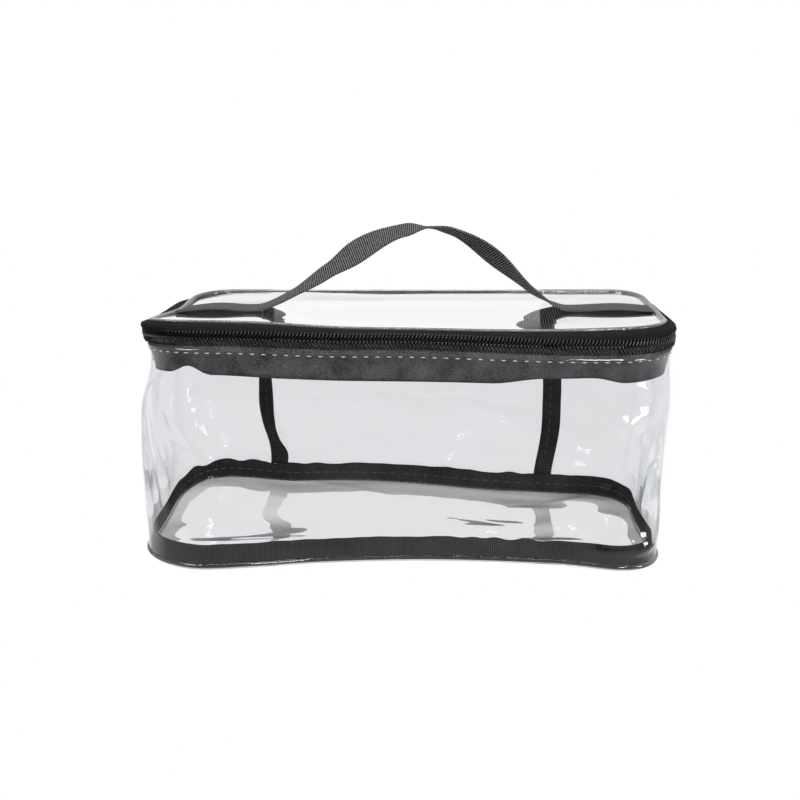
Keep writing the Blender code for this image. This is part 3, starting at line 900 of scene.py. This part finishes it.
def build_coils():
    """The two coils, tooth by tooth and half a pitch apart, so that they close on each other."""
    count = int((WRAP[1] - WRAP[0] - 0.002) / TOOTH_PITCH)
    start = WRAP[0] + 0.001
    inset = 0.0002
    lower = row(tooth(-1), [start + TOOTH_PITCH * i for i in range(count)], inset, 0.0)
    keep(lower, "lower_coil_teeth", coil_nylon, body="bag", stands_for=["zip_coil_lower"])
    upper = row(tooth(1), [start + TOOTH_PITCH * (i + 0.5) for i in range(count)], inset, 0.0)
    teeth = keep(upper, "upper_coil_teeth", coil_nylon,
                 stands_for=["zip_coil_upper", "zip_coil_end_left", "zip_coil_end_right"])
    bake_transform(teeth)


def dash(length, radius):
    """One stitch."""
    bm = bmesh.new()
    bmesh.ops.create_icosphere(bm, subdivisions=1, radius=radius)
    bmesh.ops.scale(bm, vec=(length / radius / 2, 1, 1), verts=bm.verts)
    return small_mesh(bm, "dash")


def build_stitches():
    """Every row of stitches: the rim's, the base's, the lid's and the two back seams'."""
    start, end = WRAP[0] + 0.003, WRAP[1] - 0.003
    wrapped = [start + STITCH_PITCH * i for i in range(int((end - start) / STITCH_PITCH))]
    rim_row = row(dash(*RIM_STITCH), wrapped, 0.0003, RIM_STITCH_RISE)
    keep(rim_row, "rim_stitches", seam_thread, body="bag", stands_for=["rim_stitching"])
    ringed = [STITCH_PITCH * i for i in range(int(zip_plan.length / STITCH_PITCH))]
    base_row = row(dash(*INNER_STITCH), ringed, 0.0040, 0.0055, set_foot)
    keep(base_row, "base_stitches", dark_thread, body="bag", stands_for=["base_stitching"])
    lid_row = row(dash(*INNER_STITCH), ringed, LID_INSET + 0.0024, LID_RISE - 0.0024)
    keep(lid_row, "lid_stitches", dark_thread, body="lid", stands_for=["lid_stitching"])
    for side, word in ((-1, "left"), (1, "right")):
        bm = bmesh.new()
        stitch = dash(*INNER_STITCH)
        for index in range(17):
            rise = -0.0760 + STITCH_PITCH * index
            here, above = (strip_place(side, word, BACK_BINDING_WIDTH * 0.6, rise + step, BINDING / 2)
                           for step in (0.0, 0.0005))
            turn = (above - here).to_track_quat("X", "Y").to_matrix().to_4x4()
            stamp(bm, stitch, Matrix.Translation(here) @ turn)
        keep(bm, f"back_stitches_{word}", dark_thread, body="bag", stands_for=[f"back_stitching_{word}"])


# ---- handle

# How far the strap's face turns towards the front along the arch: (x, radians).
TWISTS = [(-0.092, -0.06), (-0.064, -0.05), (-0.050, 0.0), (-0.034, 0.22), (-0.022, 0.50), (-0.001, 0.14),
          (0.0095, -0.21), (0.018, -0.35), (0.036, -0.58), (0.052, -0.28), (0.064, -0.08), (0.092, -0.06)]


def strap_height(x):
    """The strap's height above where it lies on the lid. It lifts more steeply at its right end."""
    end, fullness = (ARCH_LEFT, 1.6) if x < ARCH_APEX else (ARCH_RIGHT, 1.48)
    share = min(1.0, max(0.0, (x - end) / (ARCH_APEX - end)))
    return ARCH_RISE * math.sin(share * math.pi / 2) ** fullness


STRAP_SEAM = half_x - LID_INSET - PIPING_RADIUS
STRAP_RISE = LID_RISE + 0.0003 + STRAP / 2


def strap_place(side, x, across):
    """A place on the finished strap, this far along the lid and this far across from the strap's middle."""
    step = 0.0005
    slope = (strap_height(x + step) - strap_height(x - step)) / (2 * step)
    tangent = Vector((1, 0, slope)).normalized()
    across = Matrix.Rotation(along_points(TWISTS, x), 3, tangent) @ Vector((0, across, 0))
    rest = lid_rise(x / STRAP_SEAM, 0.0) - LID_RISE + 0.0010 * bump(x, side * 0.084, 0.017)
    carried = slack(x, across.y, STRAP_RISE)
    carried.x *= ease(abs(x), 0.050, 0.095)
    return rim @ (Vector((x, 0, STRAP_RISE + strap_height(x) + rest)) + across) + carried


def build_handle():
    """The strap in two halves that meet at its crown, each bending from the lid up into the arch."""
    for side, word, stop in ((-1, "left", ARCH_LEFT), (1, "right", ARCH_RIGHT)):
        bm = bmesh.new()
        bmesh.ops.create_grid(bm, x_segments=90, y_segments=6, size=1)
        span = side * STRAP_SEAM - ARCH_APEX
        length = abs(span) * STRAP_FULLNESS
        map_grid(bm, lambda co: (co.x * length * 5, co.y * STRAP_WIDTH * 5))
        for vert in bm.verts:
            share = (vert.co.x + 1) / 2
            vert.co = strap_place(side, ARCH_APEX + span * share, vert.co.y * STRAP_WIDTH / 2)
        bmesh.ops.recalc_face_normals(bm, faces=bm.faces)
        nodes = [f"handle_tail_{word}"] + (["handle_strap"] if side < 0 else [])
        strap = keep(bm, f"strap_{word}", webbing, stands_for=nodes)
        thicken(strap, STRAP)
        round_edges(strap, STRAP_EDGE)
        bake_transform(strap)


# ---- slider and pull

def slab(bm, outlines, low, high):
    """Adds a flat plate between two depths, cut from closed outlines of (x, z). The first is its edge."""
    edges = []
    for outline in outlines:
        verts = [bm.verts.new((x, low, z)) for x, z in outline]
        edges += [bm.edges.new(pair) for pair in zip(verts, verts[1:] + verts[:1])]
    made = bmesh.ops.triangle_fill(bm, use_beauty=True, edges=edges)["geom"]
    faces = [item for item in made if isinstance(item, bmesh.types.BMFace)]
    moved = bmesh.ops.extrude_face_region(bm, geom=faces)["geom"]
    bmesh.ops.translate(bm, verts=[item for item in moved if isinstance(item, bmesh.types.BMVert)],
                        vec=(0, high - low, 0))
    bmesh.ops.recalc_face_normals(bm, faces=bm.faces)


def rounded_outline(corners, steps=5):
    """A closed outline through (x, z, radius) corners, given in order."""
    outline = []
    for index, (x, z, radius) in enumerate(corners):
        here = Vector((x, z))
        to_last = (Vector(corners[index - 1][:2]) - here).normalized()
        to_next = (Vector(corners[(index + 1) % len(corners)][:2]) - here).normalized()
        reach = radius / math.tan(to_last.angle(to_next) / 2)
        first, last = here + to_last * reach, here + to_next * reach
        for step in range(steps + 1):
            share = step / steps
            point = first.lerp(here, share).lerp(here.lerp(last, share), share)
            outline.append(tuple(point))
    return outline


slider_place = Matrix.Translation(slider_middle) @ Matrix.Rotation(-LID_TILT, 4, "X")


def build_slider():
    """Two plates with turned-in flanges, joined by a thin web, with a bridge that holds the pull."""
    front, wide, narrow = SLIDER_LENGTH / 2, SLIDER_HALF, SLIDER_HALF - 0.0003
    core = SLIDER_FACE - SLIDER_WALL / 2
    shield = rounded_outline([(-front, -wide + 0.0010, 0.0012), (-0.0012, -wide, 0.0030),
                              (front, -narrow, 0.0016), (front, narrow, 0.0016),
                              (-0.0012, wide, 0.0030), (-front, wide - 0.0010, 0.0012)])
    bm = bmesh.new()
    for side, gap in ((-1, 0.0014), (1, 0.0007)):
        slab(bm, [shield], *sorted((side * (SLIDER_FACE - SLIDER_WALL), side * SLIDER_FACE)))
        for turn in (-1, 1):
            low, high = sorted((turn * (SLIDER_HALF - 0.0009), turn * (SLIDER_HALF - 0.0001)))
            flange = [(-0.0020, low), (front - 0.0004, low), (front - 0.0004, high), (-0.0020, high)]
            flange = rounded_outline([(x, z, 0.0003) for x, z in flange], 2)
            slab(bm, [flange], *sorted((side * gap, side * core)))
    web = [(-front + 0.0004, -0.0002), (0.0, -0.0002), (0.0, 0.0002), (-front + 0.0004, 0.0002)]
    slab(bm, [web], -core, core)
    reach = BRIDGE_DEPTH - BRIDGE_RADIUS
    arch = [((-0.0033, SLIDER_FACE - 0.0004, 0), 0.0008), ((-0.0033, reach - 0.0003, 0), BRIDGE_RADIUS),
            ((-0.0028, BRIDGE_DEPTH - 0.0001, 0), BRIDGE_RADIUS), ((-0.0018, BRIDGE_DEPTH, 0), BRIDGE_RADIUS)]
    rod(bm, arch + [((-x, y, z), radius) for (x, y, z), radius in reversed(arch)], 12)
    bmesh.ops.transform(bm, verts=bm.verts, matrix=slider_place)
    slider = keep(bm, "slider_body", enamel, smooth=False, body="slider", stands_for=["zip_slider"])
    round_edges(slider, ENAMEL_EDGE)


def mirrored(half_outline):
    """A closed outline from the (x, z, radius) corners of one half, and their mirror images."""
    return rounded_outline([(x, -z, radius) for x, z, radius in half_outline] + half_outline[::-1])


def build_pull():
    """A flat tab with a window that hangs on the bridge, and a raised panel at its end."""
    bm = bmesh.new()
    half, eye, bar = PULL_WIDTH / 2, PULL_EYE / 2, PULL_THICKNESS
    neck = half - 0.0006
    tab = mirrored([(-bar / 2, neck, 0.0006), (0.0060, neck, 0.0030), (0.0085, half, 0.0030),
                    (PULL_LENGTH, half, half - 0.0001)])
    window = mirrored([(bar / 2, eye - 0.0004, 0.0004), (bar / 2 + PULL_EYE, eye - 0.0004, 0.0012)])
    slab(bm, [tab, window], -bar / 2, bar / 2 - 0.0002)
    panel = mirrored([(0.0100, half - 0.0010, 0.0012), (PULL_LENGTH - 0.0012, half - 0.0010, half - 0.0012)])
    slab(bm, [panel], 0.0, bar / 2)
    bmesh.ops.transform(bm, verts=bm.verts, matrix=slider_place @ Matrix.Translation((0, PULL_DEPTH, 0)))
    pull = keep(bm, "pull_tab", enamel, smooth=False, body="pull", stands_for=["zip_pull"])
    round_edges(pull, ENAMEL_EDGE)


# ---- studio

CAMERA_PLACE = (-0.0032, -0.750, 0.286)
CAMERA_DIP = 16.84
CAMERA_LENS = 81.4
LOOK_AT = Vector((0, 0, 0.06))
# Each lamp's name, place, size and power.
LAMPS = [("key", (-0.55, -0.45, 0.75), 0.5, 9), ("fill", (0.76, -0.49, 0.16), 0.3, 5),
         ("front", (0.28, -0.85, 0.60), 0.32, 8), ("top", (0.0, 0.1, 1.1), 0.7, 8)]
# The floor's glow, and how dim reflections show it in front of the bag.
FLOOR_GLOW, FLOOR_DIM = 1.0, 0.12
DIM_FROM, DIM_TO = -0.02, -0.12
FLOOR_SIZE, FLOOR_DROP = 6, 0.0002


def build_floor():
    """A white floor that is dimmer in reflections, the further they look towards the front."""
    bm = bmesh.new()
    bmesh.ops.create_grid(bm, x_segments=1, y_segments=1, size=FLOOR_SIZE)
    mesh = small_mesh(bm, "floor")
    floor = add_object("floor", mesh)
    floor.location.z = -FLOOR_DROP
    made, tree, output = new_material("pale_floor")
    link = tree.links.new
    glow = node(tree, "ShaderNodeEmission", Color=(1, 1, 1, 1), Strength=FLOOR_GLOW)
    dim = node(tree, "ShaderNodeEmission", Color=(1, 1, 1, 1), Strength=FLOOR_DIM)
    path = tree.nodes.new("ShaderNodeLightPath")
    here = tree.nodes.new("ShaderNodeTexCoord")
    split = tree.nodes.new("ShaderNodeSeparateXYZ")
    front = node(tree, "ShaderNodeMapRange", From_Min=DIM_FROM, From_Max=DIM_TO)
    share = tree.nodes.new("ShaderNodeMath")
    share.operation = "MULTIPLY"
    mix = tree.nodes.new("ShaderNodeMixShader")
    link(here.outputs["Object"], split.inputs[0])
    link(split.outputs["Y"], front.inputs["Value"])
    link(path.outputs["Is Glossy Ray"], share.inputs[0])
    link(front.outputs[0], share.inputs[1])
    link(share.outputs[0], mix.inputs[0])
    link(glow.outputs[0], mix.inputs[1])
    link(dim.outputs[0], mix.inputs[2])
    link(mix.outputs[0], output.inputs[0])
    mesh.materials.append(made)


def build_backdrop():
    """A world that is white behind the bag and grey in front of it."""
    world = bpy.data.worlds.new("studio")
    bpy.context.scene.world = world
    world.use_nodes = True
    tree = world.node_tree
    link = tree.links.new
    coordinates = tree.nodes.new("ShaderNodeTexCoord")
    split = tree.nodes.new("ShaderNodeSeparateXYZ")
    shades = ramp(tree, [(0.35, (0.35, 0.35, 0.36)), (0.62, (1, 1, 1))])
    half = tree.nodes.new("ShaderNodeMath")
    half.operation = "MULTIPLY_ADD"
    half.inputs[1].default_value = 0.5
    half.inputs[2].default_value = 0.5
    link(coordinates.outputs["Generated"], split.inputs[0])
    link(split.outputs["Y"], half.inputs[0])
    link(half.outputs[0], shades.inputs[0])
    link(shades.outputs[0], tree.nodes["Background"].inputs["Color"])


def build_lamps():
    """Square lamps, all turned to the bag's middle."""
    for name, place, size, power in LAMPS:
        data = bpy.data.lights.new(name, "AREA")
        data.size = size
        data.energy = power
        light = add_object(name, data)
        light.location = place
        light.rotation_euler = (LOOK_AT - Vector(place)).to_track_quat("-Z", "Y").to_euler()


def build_camera():
    """The camera in front of the bag, looking down a little."""
    data = bpy.data.cameras.new("camera")
    data.lens = CAMERA_LENS
    data.sensor_width = 36
    camera = add_object("camera", data)
    camera.location = CAMERA_PLACE
    camera.rotation_euler = (math.radians(90 - CAMERA_DIP), 0, 0)
    bpy.context.scene.camera = camera


build_camera()
build_wall()
build_back()
build_base()
build_lid()
build_pipings()
build_bindings()
build_tapes()
build_coils()
build_stitches()
build_handle()
build_slider()
build_pull()
build_floor()
build_backdrop()
build_lamps()

scene = bpy.context.scene
scene.view_settings.view_transform = "Standard"
scene.cycles.transparent_max_bounces = 48
scene.cycles.max_bounces = 16
scene.cycles.transmission_bounces = 12
scene.cycles.glossy_bounces = 6
